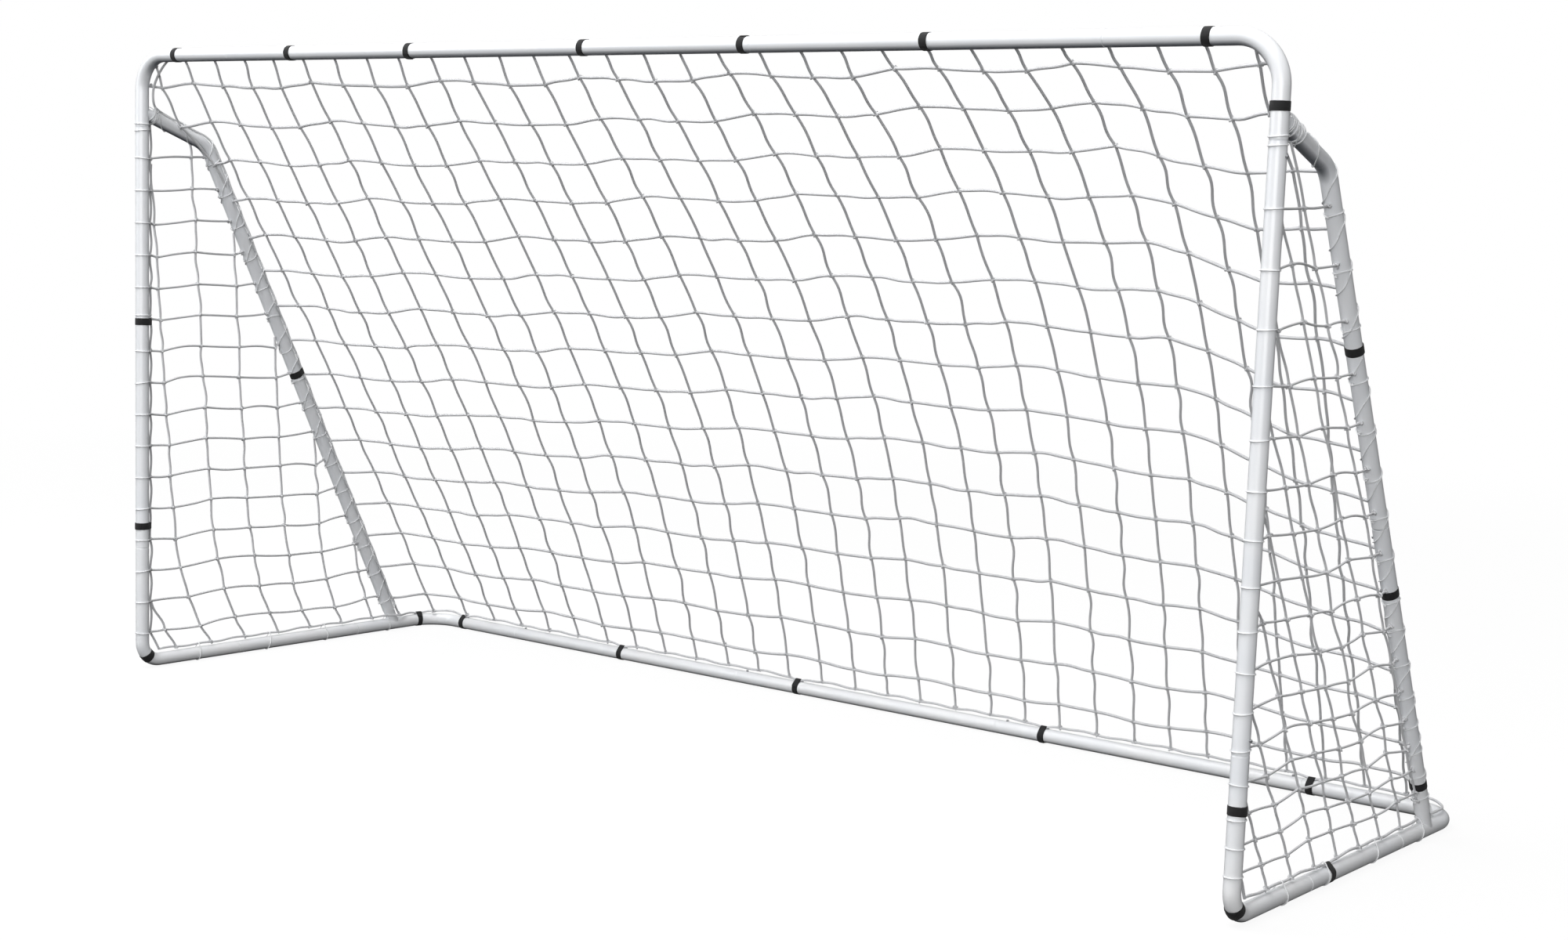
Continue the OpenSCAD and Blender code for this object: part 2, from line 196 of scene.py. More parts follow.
class Cords:
    """Cords or straps gathered into one mesh. Its UVs run round a cord in turns, or a strap in
    metres, and along either in metres."""

    def __init__(self):
        self.verts = []
        self.faces = []
        self.uvs = []
        self.count = 0

    def add(self, points, radius=CORD_R, closed=False, sides=CORD_SIDES):
        """A round cord along a line of points."""
        points = np.asarray(points, float)
        if closed:
            ways = np.roll(points, -1, axis=0) - np.roll(points, 1, axis=0)
        else:
            ways = np.gradient(points, axis=0)
        ways /= np.linalg.norm(ways, axis=1, keepdims=True)
        side = np.zeros_like(points)
        last = np.eye(3)[np.argmin(np.abs(ways[0]))]
        for i, way in enumerate(ways):
            last = last - way * (last @ way)
            last = last / math.sqrt(last @ last)
            side[i] = last
        third = np.cross(ways, side)
        angles = np.linspace(0, 2 * math.pi, sides, endpoint=False)[None, :, None]
        ring = radius * (np.cos(angles) * side[:, None] + np.sin(angles) * third[:, None])
        at = distances(points)
        starts, ends = (at, at + np.diff(at).mean()) if closed else (at[:-1], at[1:])
        self.wrap(points[:, None] + ring, np.arange(sides + 1) / sides, starts, ends)

    def wrap(self, grid, around, starts, ends):
        """Faces over rings of points, closed to a loop or with its ends capped. Around has the
        UV of each place on a ring and of its end; starts and ends have those along the grid,
        one for each stretch between two rings."""
        number, sides = grid.shape[:2]
        i, j = np.indices((len(starts), sides))
        after = (i + 1) % number
        k = (j + 1) % sides
        quads = np.stack([i * sides + j, i * sides + k, after * sides + k, after * sides + j], -1)
        u0, u1, v0, v1 = around[j], around[j + 1], starts[i], ends[i]
        self.verts.append(grid.reshape(-1, 3))
        self.faces.extend((quads.reshape(-1, 4) + self.count).tolist())
        self.uvs.append(np.stack([u0, v0, u1, v0, u1, v1, u0, v1], -1).reshape(-1, 2))
        if len(starts) < number:
            for first, order in ((0, range(sides - 1, -1, -1)), ((number - 1) * sides, range(sides))):
                self.faces.append([self.count + first + o for o in order])
                self.uvs.append(np.zeros((sides, 2)))
        self.count += number * sides

    def piece(self, name, material, *replaced):
        """Makes the piece: it rides on the frame and stands for the CAD nodes given."""
        mesh = bpy.data.meshes.new(name)
        mesh.from_pydata((np.concatenate(self.verts) + CORNER).tolist(), [], self.faces)
        layer = mesh.uv_layers.new(name="UVMap")
        layer.data.foreach_set("uv", np.concatenate(self.uvs).astype(np.float32).ravel())
        mesh.polygons.foreach_set("use_smooth", [True] * len(mesh.polygons))
        mesh.materials.append(material)
        mesh.update()
        piece = show(name, mesh)
        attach(piece, "root")
        if replaced:
            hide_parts(*replaced)
        return piece


# A stretch between two knots that is shorter than this gets less of its bows
FULL_SPAN = 0.125
BOW_X, BOW_Y, BOW_Z, ESS_X, ESS_Y, ESS_Z = range(6)


def strand(knots, sway, steps=9):
    """A cord through its knots. Between two of them it leaves the straight line by a plain bow
    and by an S, which that stretch's sway gives along x, y and z each."""
    knots = np.asarray(knots, float)
    t = np.linspace(0, 1, steps, endpoint=False)[:, None]
    parts = []
    for start, end, bends in zip(knots, knots[1:], sway):
        run = end - start
        share = min(1.0, np.linalg.norm(run) / FULL_SPAN)
        bow = np.sin(math.pi * t) * share
        ess = np.sin(2 * math.pi * t) * share
        parts.append(start + run * t + bow * bends[:3] + ess * bends[3:])
    return np.concatenate([*parts, knots[-1:]])


def random_sway(count, *spreads):
    """Sway for a number of stretches: each spread is which of its six numbers, BOW_X to ESS_Z,
    and the mean and the deviation of that."""
    sway = np.zeros((count, 6))
    for part, mean, deviation in spreads:
        sway[:, part] = rng.normal(mean, deviation, count)
    return sway


KNOT_SIZE = 0.0046
KNOT_CORD_R = 0.0024
KNOT_TURN = 0.5
KNOT_SIDES = 6


def knot_line(size, steps=14):
    """The closed line of a small knot: a loop that passes over itself twice."""
    a = np.linspace(0, 2 * math.pi, steps, endpoint=False)
    x = np.cos(a) + 0.35 * np.cos(2 * a)
    y = np.sin(a) - 0.35 * np.sin(2 * a)
    return size * np.stack([x, y, 0.55 * np.sin(3 * a)], 1)


def add_knot(cords, place, size=KNOT_SIZE, radius=KNOT_CORD_R):
    """A knot, turned at random, round a crossing of two cords."""
    turn = rng.normal(0, KNOT_TURN, 3)
    spin = (
        Matrix.Rotation(turn[0], 3, "X")
        @ Matrix.Rotation(math.pi / 2 + turn[1], 3, "X")
        @ Matrix.Rotation(turn[2], 3, "Z")
    )
    line = knot_line(size * rng.uniform(0.9, 1.15)) @ np.array(spin).T
    cords.add(place + line, radius, closed=True, sides=KNOT_SIDES)


# ---- the back net's shape ----

ROWS = 16
BACK_COLUMNS = range(-1, 30)
# As back and up: the cord behind the crossbar, then the bagged sheet's upper and lower ends
HEAD_CORD = np.array([HUG + 0.0002, HEIGHT - 0.005])
HEAD = np.array([0.018, HEIGHT - 0.019])
TAIL = np.array([DEPTH, TUBE_R + EDGE_GAP + 0.004])
# How wide the sheet's turn to the stay is at the ground, and how much it gains by the top
TURN_LOW = 0.10
TURN_LEFT = 0.10
TURN_RIGHT = 0.22
# Behind a post above its arm, nothing of the net is nearer to the side than this
POST_CLEAR = 0.03
# Rows, in shares of the way down: the first, the step, the first ones' extra drop, and how
# they bow up or down away from the column where they are level
FIRST_ROW = 0.031
ROW_STEP = 0.0623
ROW_DROP = 0.006
LEVEL_COLUMN = 12
ROW_BOW = 0.012
ROW_BOW_GROWTH = 0.0147
# The columns whose rows are at the height where the row meets the left and the right edge
LEFT_MEETS, RIGHT_MEETS = 0, 24
# Columns at the crossbar: the first, the step and how much closer each next one is. Then how
# far one leans to the left by the base, at the middle column, and more by its distance from it
COLUMN_START = 0.163
COLUMN_STEP = 0.129
COLUMN_CLOSER = 0.0003
MIDDLE_COLUMN = 11
LEAN = 0.1288
LEAN_GROWTH = (0.0018, 0.0084)
# The bag: how deep, where along the goal it is deepest, how it fades to the left, how high it
# bulges and how that changes along the goal, and how much its middle sags
BAG_DEPTH = 0.272
BAG_FULLEST = 0.79
BAG_FADE = 1.29
BAG_RISE = 0.909
BAG_RISE_GROWTH = 0.85
BAG_SAG = 0.026
KNOT_SPREAD = 0.0012
# The net was knotted in strips of four columns, so every fourth one rides up
STRIP_X = (-0.002, 0.001, 0.004, 0.001)
STRIP_Z = (0.0066, 0.0018, -0.0044, -0.0048)
# A column's cells bulge to the right just under their knots, and a row sags between two knots,
# but for the step up to the next strip
COLUMN_BULGE = (0.0004, 0.0008, 0.0026, 0.0024)
ROW_RISE = (0.0014, -0.0004, -0.0010, -0.0002)


def row_share(r, k):
    """How far down the net a row is at a column, from 0 at the crossbar to 1 at the rear base."""
    plain = FIRST_ROW + ROW_STEP * r + ROW_DROP * math.exp(-r / 2)
    off = (k - LEVEL_COLUMN) / LEVEL_COLUMN
    return plain + (ROW_BOW + ROW_BOW_GROWTH * off) * off * math.sin(math.pi * min(1, plain))


def column_x(k, share):
    """A column's distance from the left post: it leans to the left on its way down."""
    top = COLUMN_START + COLUMN_STEP * k - COLUMN_CLOSER * k * k + STRIP_X[k % 4]
    off = (k - MIDDLE_COLUMN) / 10
    return top - (LEAN + LEAN_GROWTH[0] * off + LEAN_GROWTH[1] * off * off) * share


def bow_depth(x):
    """How far the net bags out behind a straight line from the crossbar to the rear base."""
    s = x / WIDTH
    if s < BAG_FULLEST:
        return BAG_DEPTH * math.sin(math.pi / 2 * (max(s, 0.0) / BAG_FULLEST) ** BAG_FADE)
    return BAG_DEPTH * math.cos(math.pi / 2 * min(1.0, (s - BAG_FULLEST) / (1 - BAG_FULLEST)))


def free_sheet(x, share):
    """Back and up of the bagged sheet, away from its two sides."""
    t = np.linspace(0, 1, 121)
    line = HEAD + (TAIL - HEAD) * t[:, None]
    rise = BAG_RISE - BAG_RISE_GROWTH * (x / WIDTH - 0.5)
    line[:, 0] += bow_depth(x) * np.sin(math.pi * t**rise)
    at = distances(line)
    y, z = (float(np.interp(share, at / at[-1], line[:, i])) for i in (0, 1))
    sag = BAG_SAG * math.sin(math.pi * min(1, max(0, share))) * math.sin(math.pi * x / WIDTH)
    return y, z - sag


def sheet_point(x, share):
    """A place on the back net, or None past its laced sides, where it turns forward to the
    stays."""
    rest = 1 - min(1, max(0, share))
    left = TURN_LOW + TURN_LEFT * rest
    right = WIDTH - TURN_LOW - TURN_RIGHT * rest
    if left <= x <= right:
        y, z = free_sheet(x, share)
        return np.array([x, y, z])
    start, wide, way = (left, left, -1) if x < left else (right, WIDTH - right, 1)
    y, z = free_sheet(start, share)
    deep = y - (stay_y(z) + STAY_HUG)
    a = np.linspace(0, math.pi / 2, 25)
    turn = np.stack([wide * np.sin(a), deep * (1 - np.cos(a))], 1)
    at = distances(turn)
    reach = abs(x - start)
    if reach > at[-1]:
        return None
    out, forward = (np.interp(reach, at, turn[:, i]) for i in (0, 1))
    return np.array([start + way * out, y - forward, z])


def laced_edge(x, share):
    """Where the net meets the arm, the stay or the post beside it, at a row."""
    start = TURN_LOW + TURN_LEFT if x == 0.0 else WIDTH - TURN_LOW - TURN_RIGHT
    z = free_sheet(start, share)[1]
    up = max(0.0, z - (HEIGHT - TOP_BEND_R))
    inward = 0.004 + TOP_BEND_R - math.sqrt(TOP_BEND_R**2 - up**2) if up else 0.0
    return np.array([abs(x - inward), stay_y(z) + STAY_HUG, z])


def off_net(place):
    """Whether a place is past the laced sides, or behind a post above its arm."""
    if place is None:
        return True
    return min(place[0], WIDTH - place[0]) < POST_CLEAR and place[2] > ARM_TOP[1]


def back_knot(k, r):
    """Where column k and row r of the back net cross, or None if that is off the net."""
    share = row_share(r, k)
    place = sheet_point(column_x(k, share), share)
    if off_net(place):
        return None
    place[2] += STRIP_Z[k % 4] * (1.3 - 0.6 * share)
    return place + rng.normal(0, KNOT_SPREAD, 3)


def back_column(k, rows, knots, net, ties):
    """A stretch of a column, with its knots in the rows given, from edge to edge."""
    first, last = int(rows[0]), int(rows[-1])
    top = head_place(column_x(k, 0)) if first == 0 else edge_place(k, first, -1)
    low = sheet_point(column_x(k, 1), 1) if last == ROWS - 1 else edge_place(k, last, 1)
    line = [p for p in (top, *(knots[k, int(r)] for r in rows), low) if p is not None]
    for end in (top, low):
        if end is not None:
            add_knot(ties, end)
    bulge = (BOW_X, COLUMN_BULGE[k % 4], 0.0022)
    sway = random_sway(len(line) - 1, bulge, (BOW_Y, 0, 0.0015), (ESS_X, 0.0016, 0.0014))
    net.add(strand(line, sway))


def back_row(r, knots, net, ties):
    """A row, from the edge laced to the left stay or post to that on the right."""
    columns = [k for k in BACK_COLUMNS if (k, r) in knots]
    left = laced_edge(0.0, row_share(r, LEFT_MEETS))
    right = laced_edge(WIDTH, row_share(r, RIGHT_MEETS))
    line = [left, *(knots[k, r] for k in columns), right]
    for end in (left, right):
        add_knot(ties, end)
    sway = random_sway(len(line) - 1, (BOW_Y, 0, 0.0016), (ESS_Z, 0, 0.0010))
    for stretch, k in zip(sway, (columns[0] - 1, *columns)):
        stretch[BOW_Z] = ROW_RISE[k % 4] + rng.normal(0, 0.0012)
    net.add(strand(line, sway), ROW_R)


def back_net():
    """Columns, rows and knots of the back net, with the cord along the crossbar."""
    knots = {(k, r): back_knot(k, r) for k in BACK_COLUMNS for r in range(ROWS)}
    knots = {key: place for key, place in knots.items() if place is not None}
    net = Cords()
    ties = Cords()
    for k in BACK_COLUMNS:
        rows = [r for r in range(ROWS) if (k, r) in knots]
        for run in np.split(rows, np.where(np.diff(rows) > 1)[0] + 1) if rows else []:
            back_column(k, run, knots, net, ties)
    for r in range(ROWS):
        back_row(r, knots, net, ties)
    net.add(head_line())
    for place in knots.values():
        add_knot(ties, place)
    ties.piece("back_net_knots", cord_material())
    net.piece("back_net", cord_material(), "net_back")


def edge_place(k, r, way):
    """Where a column crosses the laced edge above or below one of its knots."""
    share = row_share(r, k)
    last = None
    for step in np.linspace(0, ROW_STEP, 13)[2:]:
        place = sheet_point(column_x(k, share + way * step), share + way * step)
        if off_net(place):
            return last
        last = place
    return last


def head_place(x):
    """A place on the cord behind the crossbar, or behind the bend at its end."""
    turn = max(0.0, TOP_BEND_R - min(x, WIDTH - x))
    drop = TOP_BEND_R - math.sqrt(TOP_BEND_R**2 - turn**2)
    return np.array([x, HEAD_CORD[0], HEAD_CORD[1] - drop])


def head_line():
    """The cord behind the crossbar that the columns hang from, down round both top bends."""
    x = np.linspace(TOP_BEND_R, WIDTH - TOP_BEND_R, 150)
    bar = np.stack([x, HEAD_CORD[0] + 0 * x, HEAD_CORD[1] + 0 * x], 1)
    arm_low, arm_high = on_arm(0.11), on_arm(0.04)
    inner = TOP_BEND_R * 0.22
    left = [
        (0.003, *arm_low),
        (0.010, *arm_high),
        (inner, 0.021, HEIGHT - 0.13),
        (inner, 0.021, HEIGHT - 0.09),
        (TOP_BEND_R / 2, 0.025, HEIGHT - 0.040),
    ]
    right = [(WIDTH - p[0], p[1], p[2]) for p in reversed(left)]
    return smooth([*left, *bar, *right])


def on_arm(y):
    """A place on top of the arm, as back and up."""
    slope = (STAY_BEND[1] - ARM_TOP[1]) / STAY_BEND[0]
    return y, ARM_TOP[1] + slope * y + (HUG + 0.0005) * math.hypot(1, slope)


def smooth(points, passes=2):
    """Cuts a path's corners, so that a cord bends and doesn't fold."""
    points = np.asarray(points, float)
    for _ in range(passes):
        a = points[:-1] * 0.75 + points[1:] * 0.25
        b = points[:-1] * 0.25 + points[1:] * 0.75
        cut = np.stack([a, b], 1).reshape(-1, 3)
        points = np.concatenate([points[:1], cut, points[-1:]])
    keep = np.concatenate([[True], np.linalg.norm(np.diff(points, axis=0), axis=1) > 1e-5])
    return points[keep]


# ---- the side nets ----

SIDE_ROWS = 16
FLARE_HEIGHT = 0.15


def left_column(j, z):
    """A column of the left net, back from the post: it flares to the back near the ground."""
    up = z - 0.03
    flare = 0.07 * up + 0.115 * (1 - math.exp(-up / FLARE_HEIGHT))
    return 0.118 + 0.128 * j - (1.06 - 0.06 * j) * flare


def left_row(r):
    """How high a row of the left net is, from the base's axis."""
    return 0.086 + 0.0931 * r


def right_column(j, z):
    """A column of the right net, which runs almost along the stay."""
    return 0.158 + 0.113 * j - 0.575 * (z - 0.026)


def right_row(r):
    """How high a row of the right net is: its rows spread out on the way up."""
    return 0.089 + 0.057 * r + 0.0022 * r * r


SIDES = {
    "left": dict(
        x=0.0, inward=1, column=left_column, row=left_row, columns=7, first_of_strip=2,
        cord=CORD_R, arm_turns=3,
    ),
    "right": dict(
        x=WIDTH, inward=-1, column=right_column, row=right_row, columns=8, first_of_strip=6,
        cord=RIGHT_CORD_R, arm_turns=8,
    ),
}
# How far behind the post's axis the side net begins, and its front cord runs
POST_EDGE = 0.030
POST_CORD = POST_EDGE - 0.004
SIDE_STRIP_Z = (0.011, 0.005, 0.0, -0.004)
SIDE_KNOT_SPREAD = 0.0016
# How much the arm falls for each metre it goes back
ARM_FALL = 0.375


def stay_edge(z):
    """How far back the side net reaches at a height, to the front of the stay."""
    return stay_y(z) - STAY_HUG


def side_knots(side):
    """The knots of a side net, by column and row."""
    knots = {}
    for r in range(SIDE_ROWS):
        z = side["row"](r)
        for j in range(side["columns"]):
            y = side["column"](j, z)
            if POST_EDGE + 0.012 < y < stay_edge(z) - 0.010:
                place = np.array([side["x"], y, z + SIDE_STRIP_Z[(j - side["first_of_strip"]) % 4]])
                knots[j, r] = place + rng.normal(0, SIDE_KNOT_SPREAD, 3)
    return knots


def side_column(side, j, knots, net):
    """A column of a side net, from the base or the post's cord up to the stay or the arm."""
    x, column = side["x"], side["column"]
    heights = np.linspace(TUBE_R + EDGE_GAP + CORD_R, ARM_TOP[1] - 0.03, 160)
    inside = [z for z in heights if POST_EDGE <= column(j, z) <= stay_edge(z)]
    places = [knots[j, r] for r in range(SIDE_ROWS) if (j, r) in knots]
    if not places:
        return
    base, top = (np.array([x, column(j, z), z]) for z in (inside[0], inside[-1]))
    if top[2] > ARM_TOP[1] - 0.09:
        top[2] = ARM_TOP[1] - ARM_FALL * top[1] - HUG
    line = [base, *places, top]
    out = (BOW_X, 0, 0.002)
    sway = random_sway(len(line) - 1, out, (BOW_Y, 0.001, 0.002), (ESS_Y, 0.001, 0.0016))
    net.add(strand(line, sway), side["cord"])
    add_knot(net, base)


def side_row(side, r, knots, net):
    """A row of a side net, from the post's cord to the stay."""
    z = side["row"](r)
    front = np.array([side["x"], POST_CORD, z])
    back = np.array([side["x"], stay_edge(z + 0.01), z + 0.012])
    line = [front, *(knots[j, r] for j in range(side["columns"]) if (j, r) in knots), back]
    sway = random_sway(len(line) - 1, (BOW_Z, 0.0004, 0.0022), (BOW_X, 0, 0.002))
    net.add(strand(line, sway), side["cord"])
    add_knot(net, front)
    add_knot(net, back)


def side_net(name):
    side = SIDES[name]
    net = Cords()
    knots = side_knots(side)
    for j in range(side["columns"]):
        side_column(side, j, knots, net)
    for r in range(SIDE_ROWS):
        side_row(side, r, knots, net)
    net.add(post_edge_line(side))
    for place in knots.values():
        add_knot(net, place)
    net.piece(name + "_side_net", cord_material(), "net_" + name)


def post_edge_line(side):
    """The side net's front cord: held to the post at each row, and bowed off it between."""
    heights = [side["row"](r) for r in range(SIDE_ROWS)]
    heights = [TUBE_R + FRONT_BEND_R, *heights, ARM_TOP[1] - 0.03]
    line = [np.array([side["x"], POST_CORD, z]) for z in heights]
    line[0] = np.array([side["x"], FRONT_BEND_R, TUBE_R + EDGE_GAP + CORD_R])
    return strand(line, random_sway(len(line) - 1, (BOW_Y, 0.006, 0.002), (ESS_Y, 0, 0.002)))


# ---- loops and lacing ----

LACE_HUG = TUBE_R + LACE_R
STRAP_ROOM = 0.019
# The cord along the stay: how far round to the inside it sits, and where it starts and ends
STAY_CORD_LEAN = 0.35
STAY_CORD_START = 0.035
STAY_CORD_END = 0.05
# The thin cord round it: its pitch, and how near to a strap's middle it comes
WIND_PITCH = 0.102
WIND_CLEAR = 0.013
BASE_LOOP_STEP = 0.24
BASE_WAVE = 0.124


def straps_at(node, x, near=0.1):
    """The middles of a node's straps on one side."""
    return [centre for centre, _ in rings(node) if abs(centre[0] - x) < near]


def clear_of(at, taken):
    """A distance along a tube, moved off any strap near it."""
    for strap in taken:
        if abs(at - strap) < STRAP_ROOM:
            return strap + math.copysign(STRAP_ROOM, at - strap)
    return at


def add_loop(cords, centre, way, tilt, pull, steps=22):
    """A closed loop of thin cord round a tube, tilted by a slope, and drawn out to a place."""
    way = unit(np.asarray(way, float))
    reach = pull - centre
    side = unit(reach - way * (reach @ way))
    third = np.cross(way, side)
    a = np.linspace(0, 2 * math.pi, steps, endpoint=False)[:, None]
    points = centre + LACE_HUG * (np.cos(a) * side + np.sin(a) * third)
    points = points + way * LACE_HUG * tilt * np.cos(a + 0.6)
    near = np.clip(np.cos(a), 0, 1) ** 8
    cords.add(points + near * (reach - LACE_HUG * side), LACE_R, closed=True)


def lace_side(path, s, x):
    """The way out from arm or stay to the cord that runs along its back."""
    lean = STAY_CORD_LEAN if x < WIDTH / 2 else -STAY_CORD_LEAN
    out = np.cross(ACROSS, path.along(s))
    return out * math.cos(lean) + ACROSS * math.sin(lean)


def post_loops(name):
    """One loop of white cord round the post at each row, knotted behind it."""
    side = SIDES[name]
    loops = Cords()
    taken = [c[2] for c in straps_at("post_straps", side["x"])]
    for r in range(SIDE_ROWS):
        centre = np.array([side["x"], 0.0, clear_of(side["row"](r), taken)])
        pull = centre + np.array([0.004 * side["inward"], POST_EDGE - 0.001, rng.normal(0, 0.002)])
        add_loop(loops, centre, UP, rng.normal(0.04, 0.07), pull)
    loops.piece(name + "_post_loops", lace_material())


def base_loops(name):
    """Loops that tie the net's lower cord to the side base."""
    side = SIDES[name]
    loops = Cords()
    taken = [c[1] for c in straps_at("base_straps", side["x"], 0.01)]
    for y in np.arange(0.21, STAY_FOOT[0] - 0.05, BASE_LOOP_STEP):
        centre = np.array([side["x"], clear_of(y + rng.normal(0, 0.01), taken), 0.0])
        pull = centre + UP * (TUBE_R + EDGE_GAP + 2 * CORD_R)
        add_loop(loops, centre, (0, 1, 0), rng.normal(0.2, 0.2), pull)
    loops.piece(name + "_base_loops", lace_material())


def winding(path, s, edge_out):
    """The thin cord's line round arm or stay, over the cord along its back."""
    turn = 2 * math.pi * (s - STAY_CORD_START) / WIND_PITCH
    turn = turn + 0.55 * np.sin(turn + 0.5) + 0.4 * np.sin(s * 9.0)
    out = np.cross(ACROSS, path.along(s))
    round_way = out * np.cos(turn)[:, None] + ACROSS * np.sin(turn)[:, None]
    over_cord = np.clip(np.sum(round_way * edge_out, axis=1) * 4 - 3, 0, 1)
    return path.point(s) + round_way * (LACE_HUG + 0.0006 + over_cord * 2 * CORD_R)[:, None]


def stay_lacing(name):
    """The cord along the back of arm and stay, the thin white one that winds round both, and
    a tie at each row."""
    side = SIDES[name]
    path = STAY[side["x"]]
    lace = Cords()
    taken = [path.nearest(c) for c in straps_at("stay_straps", side["x"])]
    s = np.linspace(STAY_CORD_START, path.length - STAY_CORD_END, 900)
    away = np.min([np.abs(s - t) for t in taken], axis=0)
    edge_out = lace_side(path, s, side["x"])
    slack = (0.0012 + 0.0009 * np.sin(s * 61.0)) * np.clip(away / 0.03 - 0.5, 0, 1)
    edge = path.point(s) + edge_out * (HUG + slack)[:, None]
    lace.add(edge[::4])
    wound = winding(path, s, edge_out)
    free = away > WIND_CLEAR
    for run in np.split(np.arange(len(s)), np.where(np.diff(free.astype(int)))[0] + 1):
        if free[run[0]] and len(run) > 8:
            lace.add(wound[run][::2], LACE_R)
    for r in range(SIDE_ROWS):
        z = side["row"](r)
        at = clear_of(path.nearest(np.array([side["x"], stay_y(z), z])), taken)
        centre = path.point(at)
        way = path.along(at)
        pull = centre - np.cross(ACROSS, way) * (HUG + 0.004) + ACROSS * 0.003 * side["inward"]
        add_loop(lace, centre, way, rng.normal(0, 0.2), pull)
        add_knot(lace, pull, 0.0026, LACE_R)
    lace.piece(name + "_stay_lacing", lace_material())


def arm_bundle(name):
    """The gathered corner of the net: turns of cord round the arm beside the post, and two
    more round the post under it."""
    side = SIDES[name]
    path = STAY[side["x"]]
    bundle = Cords()
    for i in range(side["arm_turns"]):
        s = 0.028 + 0.0080 * i + rng.normal(0, 0.0012)
        pull = path.point(s) + np.array([rng.normal(0, 0.006), 0, HUG + rng.uniform(0.004, 0.007)])
        add_loop(bundle, path.point(s), path.along(s), rng.normal(0, 0.3), pull)
    for i in range(2):
        centre = np.array([side["x"], 0.0, ARM_TOP[1] - 0.034 - 0.018 * i])
        pull = centre + np.array([0, TUBE_R + 0.008, 0])
        add_loop(bundle, centre, UP, rng.normal(0, 0.1), pull)
    bundle.piece(name + "_arm_cords", lace_material())


def base_path():
    """The base's axis, round its left side, rear and right side."""
    r = REAR_BEND_R
    left = [(0.0, y, 0.0) for y in np.linspace(FRONT_BEND_R, DEPTH - r, 40)]
    for a in np.linspace(0, math.pi / 2, 14)[1:]:
        left.append((r - r * math.cos(a), DEPTH - r + r * math.sin(a), 0.0))
    rear = [(x, DEPTH, 0.0) for x in np.linspace(r, WIDTH - r, 120)[1:]]
    right = [(WIDTH - p[0], p[1], 0.0) for p in reversed(left[:-1])]
    return Path([*left, *rear, *right])


def base_cord():
    """The net's lower cord, round three sides of the base just above its tubes. It dips to
    the tube under every strap, and passes each stay's foot on the inside."""
    path = base_path()
    held = [path.nearest(centre) for centre, _ in rings("base_straps")]
    s = np.linspace(0, path.length, 1100)
    dip = sum(np.exp(-(((s - h) / 0.03) ** 2)) for h in held)
    wave = 0.0016 * np.sin(s * 2 * math.pi / BASE_WAVE) + 0.0011 * np.sin(s * 23.0 + 1.0)
    points = path.point(s)
    points[:, 2] = HUG + (EDGE_GAP + wave) * (1 - np.clip(dip, 0, 1))
    foot = np.exp(-(((points[:, 1] - STAY_FOOT[0]) / 0.035) ** 2))
    for side in SIDES.values():
        near = foot * (np.abs(points[:, 0] - side["x"]) < 0.05)
        points[:, 0] += side["inward"] * (TUBE_R + 0.004) * near
    cord = Cords()
    cord.add(points)
    cord.piece("base_edge_cord", cord_material())


# ---- straps ----

# A strap: its thickness, its gap to what it holds, its width, its thinned edges, the steps
# along it, the UV round its section, and how askew it lies
BAND_T = 0.0011
BAND_GAP = 0.0002
BAND_WIDTH = 0.020
BAND_EDGE = 0.0005
BAND_STEPS = 84
BAND_ROUND = 0.042
BAND_SKEW = 0.0011
# The tail: how far it laps over the start, how high and over what turn its end lifts, over
# what length and how far its end narrows, and how much further askew it lies
TAIL_TURN = math.radians(75)
TAIL_LIFT = 0.0006
TAIL_LIFT_TURN = 0.25
TAIL_ROUND = 0.004
TAIL_SLIM = 0.75
TAIL_DRIFT = 9 / 11
# No two points of a ring are further apart than this, and no two rings are as near
RING_REACH = 0.055


def rings(node):
    """Centre and axis of each plain ring in a strap node, in the goal's corner frame."""
    left = np.array([v.co for v in frame["nodes"][node].data.vertices]) - CORNER
    found = []
    while len(left):
        near = np.linalg.norm(left - left[0], axis=1) < RING_REACH
        ring = left[near]
        left = left[~near]
        centre = (ring.min(0) + ring.max(0)) / 2
        _, ways = np.linalg.eigh(np.cov((ring - ring.mean(0)).T))
        found.append((centre, ways[:, 0]))
    return found


def held_cords(node, centre):
    """The cords a strap goes over: offset from the tube's axis, and radius."""
    if node == "crossbar_straps":
        return [(np.array([0.0, HEAD_CORD[0], HEAD_CORD[1] - HEIGHT]), CORD_R)]
    if node == "base_straps":
        return [(UP * HUG, CORD_R)]
    if node == "post_straps" and centre[2] < ARM_TOP[1]:
        return [(np.array([0.0, POST_CORD, 0.0]), CORD_R)]
    if node == "stay_straps":
        path = STAY[0.0 if centre[0] < WIDTH / 2 else WIDTH]
        return [(lace_side(path, path.nearest(centre), centre[0]) * HUG, CORD_R)]
    return []


def band_reach(side, third, cords, least=0.2, far=9.0):
    """Directions round a tube, and how far out in each a band over the tube and cords runs.
    Only what faces a direction by the least cosine given holds the band off there."""
    theta = np.radians(np.arange(0, 362, 2))
    ways = np.cos(theta)[:, None] * side + np.sin(theta)[:, None] * third
    support = np.full(len(theta), TUBE_R)
    for offset, radius in cords:
        support = np.maximum(support, ways @ offset + radius)
    facing = ways @ ways.T
    reach = np.where(facing > least, support[None, :] / np.maximum(facing, least), far)
    return theta, reach.min(axis=1)


